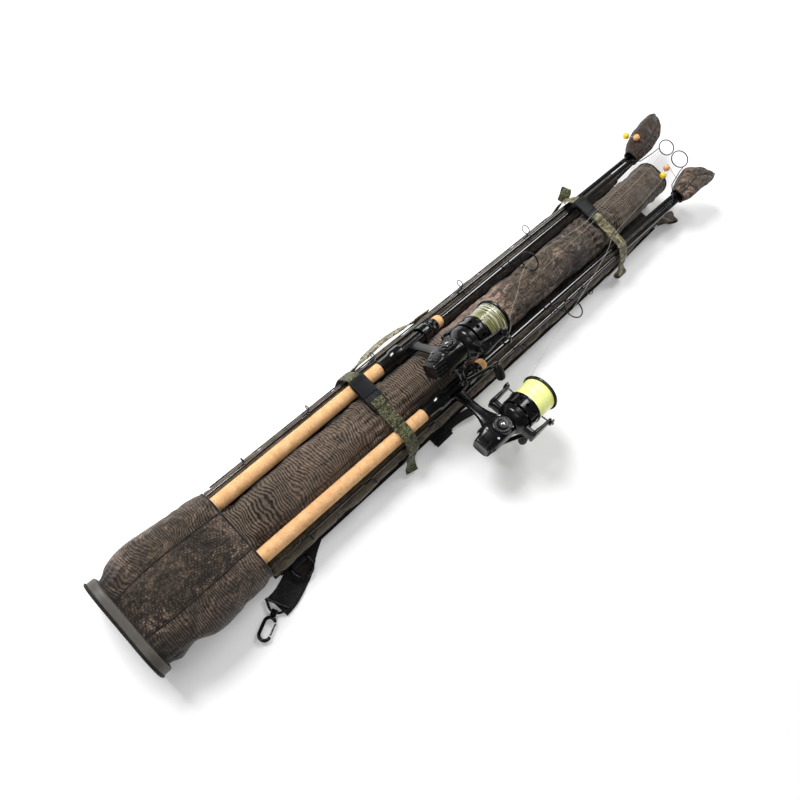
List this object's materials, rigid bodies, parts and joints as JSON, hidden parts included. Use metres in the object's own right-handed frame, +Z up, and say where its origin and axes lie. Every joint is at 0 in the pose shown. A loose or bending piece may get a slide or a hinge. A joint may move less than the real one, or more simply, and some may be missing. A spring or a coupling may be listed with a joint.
{
  "type": "rod case",
  "caption": "Padded fishing rod case with a moulded foot, butt pocket, centre sleeve, buckled straps and tip cups, holding folded rods with their reels.",
  "frame": {"origin": "centre of the moulded foot's outer face", "axes": "+X runs from the foot to the rod tips, +Y to the left seen from the foot, +Z up with the case lying on its back"},
  "size_m": [1.518, 0.3403, 0.199],
  "materials": {
    "foot_black": "moulded matt black rubber",
    "foot_grey": "moulded grey rubber, soft sheen",
    "camo_cloth": "woven polyester printed with a mottled brown pattern",
    "board": "plain sheet",
    "elastic": "woven elastic",
    "camo_web": "olive patterned webbing",
    "black_web": "black ribbed webbing",
    "buckle": "moulded acetal, satin",
    "cork": "sanded cork",
    "blank": "lacquered carbon blank",
    "seat": "satin black reel seat",
    "ring_metal": "black anodised guides",
    "reel_shell": "matt black reel casing",
    "reel_dark": "satin dark grey",
    "mono_line": "wound olive nylon line",
    "bright_line": "wound bright yellow line",
    "wire": "dark polished wire",
    "knob_grip": "soft grip"
  },
  "bodies": {
    "case": {"base_sole": "foot_black", "base_tray": "foot_grey", "butt_pocket": "camo_cloth", "back_panel": "camo_cloth", "spine_board": "board", "left_bolster": "camo_cloth", "right_bolster": "camo_cloth", "tube_sleeve": "camo_cloth", "tip_elastics": "elastic", "lower_strap": "camo_web", "upper_strap": "camo_web", "lower_buckle_socket": "buckle", "upper_buckle_socket": "buckle", "carry_handle": "camo_web", "shoulder_strap": "black_web", "strap_adjuster": "buckle", "hook_swivel": "ring_metal", "d_ring_tab": "black_web", "left_rod_butt_blank": "blank", "left_rod_butt_cap": "seat", "left_rod_cork": "cork", "left_rod_reel_seat": "seat", "left_rod_guides": "ring_metal", "left_rod_tip_blank": "blank", "left_reel_body": "reel_shell", "right_rod_butt_blank": "blank", "right_rod_butt_cap": "seat", "right_rod_cork": "cork", "right_rod_reel_seat": "seat", "right_rod_guides": "ring_metal", "right_rod_tip_blank": "blank", "right_reel_body": "reel_shell"},
    "left_cup": {"left_tip_cup": "camo_cloth"},
    "right_cup": {"right_tip_cup": "camo_cloth"},
    "lower_plug": {"lower_buckle_plug": "buckle", "lower_strap_loop": "camo_web"},
    "upper_plug": {"upper_buckle_plug": "buckle", "upper_strap_loop": "camo_web"},
    "hook": {"hook_body": "ring_metal"},
    "gate": {"hook_gate": "ring_metal"},
    "side_ring": {"d_ring": "ring_metal"},
    "left_hood": {"left_rod_seat_hood": "seat"},
    "left_nut": {"left_rod_seat_nut": "seat"},
    "left_rotor": {"left_reel_rotor": "reel_shell"},
    "left_crank": {"left_reel_crank": "reel_dark"},
    "left_knob": {"left_reel_crank_knob": "knob_grip"},
    "left_bail": {"left_reel_bail": "wire"},
    "left_spool": {"left_reel_spool": "reel_dark", "left_reel_line": "mono_line"},
    "left_drag": {"left_reel_drag_knob": "reel_dark"},
    "right_hood": {"right_rod_seat_hood": "seat"},
    "right_nut": {"right_rod_seat_nut": "seat"},
    "right_rotor": {"right_reel_rotor": "reel_shell"},
    "right_crank": {"right_reel_crank": "reel_dark"},
    "right_knob": {"right_reel_crank_knob": "knob_grip"},
    "right_bail": {"right_reel_bail": "wire"},
    "right_spool": {"right_reel_spool": "reel_dark", "right_reel_line": "bright_line"},
    "right_drag": {"right_reel_drag_knob": "reel_dark"}
  },
  "joints": [
    {"name": "left_cup_pull", "type": "slide", "parent": "case", "child": "left_cup", "axis": [1, 0, 0], "range_m": [0, 0.07]},
    {"name": "right_cup_pull", "type": "slide", "parent": "case", "child": "right_cup", "axis": [1, 0, 0], "range_m": [0, 0.07]},
    {"name": "lower_buckle_release", "type": "slide", "parent": "case", "child": "lower_plug", "axis": [0, -1, 0], "range_m": [0, 0.026]},
    {"name": "upper_buckle_release", "type": "slide", "parent": "case", "child": "upper_plug", "axis": [0, -1, 0], "range_m": [0, 0.026]},
    {"name": "hook_swivel_turn", "type": "hinge", "parent": "case", "child": "hook", "pos_m": [0.174, -0.123, -0.0436], "axis": [-0.9063, -0.4226, 0], "continuous": true},
    {"name": "hook_gate_open", "type": "hinge", "parent": "hook", "child": "gate", "pos_m": [0.16168, -0.13823, -0.0436], "axis": [0, 0, -1], "range_deg": [0, 24]},
    {"name": "d_ring_swing", "type": "hinge", "parent": "case", "child": "side_ring", "pos_m": [0.25, -0.0932, -0.041], "axis": [-1, 0, 0], "range_deg": [0, 80]},
    {"name": "left_hood_travel", "type": "slide", "parent": "case", "child": "left_hood", "axis": [1, 0.0063, 0], "range_m": [0, 0.008]},
    {"name": "left_nut_turn", "type": "hinge", "parent": "left_hood", "child": "left_nut", "pos_m": [0.68999, 0.05595, 0.021], "axis": [1, 0.0063, 0], "range_deg": [0, 1440.1]},
    {"name": "left_rotor_turn", "type": "hinge", "parent": "case", "child": "left_rotor", "pos_m": [0.66046, -0.01918, 0.10423], "axis": [1, 0.0063, 0], "range_deg": [-86, 640]},
    {"name": "left_crank_turn", "type": "hinge", "parent": "case", "child": "left_crank", "pos_m": [0.63665, -0.04906, 0.07747], "axis": [0.0047, -0.7431, -0.6691], "range_deg": [-20.01, 148.85]},
    {"name": "left_knob_spin", "type": "hinge", "parent": "left_crank", "child": "left_knob", "pos_m": [0.69715, -0.08727, 0.07549], "axis": [0.0047, -0.7431, -0.6691], "continuous": true},
    {"name": "left_bail_flip", "type": "hinge", "parent": "left_rotor", "child": "left_bail", "pos_m": [0.71246, -0.01886, 0.10423], "axis": [0.0042, -0.6691, 0.7431], "range_deg": [0, 120]},
    {"name": "left_spool_slip", "type": "hinge", "parent": "case", "child": "left_spool", "pos_m": [0.72046, -0.0188, 0.10423], "axis": [1, 0.0063, 0], "continuous": true},
    {"name": "left_drag_turn", "type": "hinge", "parent": "case", "child": "left_drag", "pos_m": [0.75246, -0.0186, 0.10423], "axis": [1, 0.0063, 0], "continuous": true},
    {"name": "right_hood_travel", "type": "slide", "parent": "case", "child": "right_hood", "axis": [1, -0.0063, 0], "range_m": [0, 0.008]},
    {"name": "right_nut_turn", "type": "hinge", "parent": "right_hood", "child": "right_nut", "pos_m": [0.68999, -0.05595, 0.021], "axis": [1, -0.0063, 0], "range_deg": [0, 1440.1]},
    {"name": "right_rotor_turn", "type": "hinge", "parent": "case", "child": "right_rotor", "pos_m": [0.6593, -0.16531, 0.04429], "axis": [1, -0.0063, 0], "continuous": true},
    {"name": "right_crank_turn", "type": "hinge", "parent": "case", "child": "right_crank", "pos_m": [0.63525, -0.17347, 0.00516], "axis": [-0.0013, -0.2079, -0.9781], "continuous": true},
    {"name": "right_knob_spin", "type": "hinge", "parent": "right_crank", "child": "right_knob", "pos_m": [0.69532, -0.20391, -0.01912], "axis": [-0.0013, -0.2079, -0.9781], "continuous": true},
    {"name": "right_bail_flip", "type": "hinge", "parent": "right_rotor", "child": "right_bail", "pos_m": [0.7113, -0.16564, 0.04429], "axis": [-0.0061, -0.9781, 0.2079], "range_deg": [0, 120]},
    {"name": "right_spool_slip", "type": "hinge", "parent": "case", "child": "right_spool", "pos_m": [0.7193, -0.16569, 0.04429], "axis": [1, -0.0063, 0], "continuous": true},
    {"name": "right_drag_turn", "type": "hinge", "parent": "case", "child": "right_drag", "pos_m": [0.7513, -0.16589, 0.04429], "axis": [1, -0.0063, 0], "continuous": true}
  ],
  "couplings": [
    {"joint": "left_nut_turn", "follows": "left_hood_travel", "rad_per_m": 3141.6},
    {"joint": "left_crank_turn", "follows": "left_rotor_turn", "ratio": 0.23256},
    {"joint": "right_nut_turn", "follows": "right_hood_travel", "rad_per_m": 3141.6},
    {"joint": "right_crank_turn", "follows": "right_rotor_turn", "ratio": 0.23256}
  ]
}
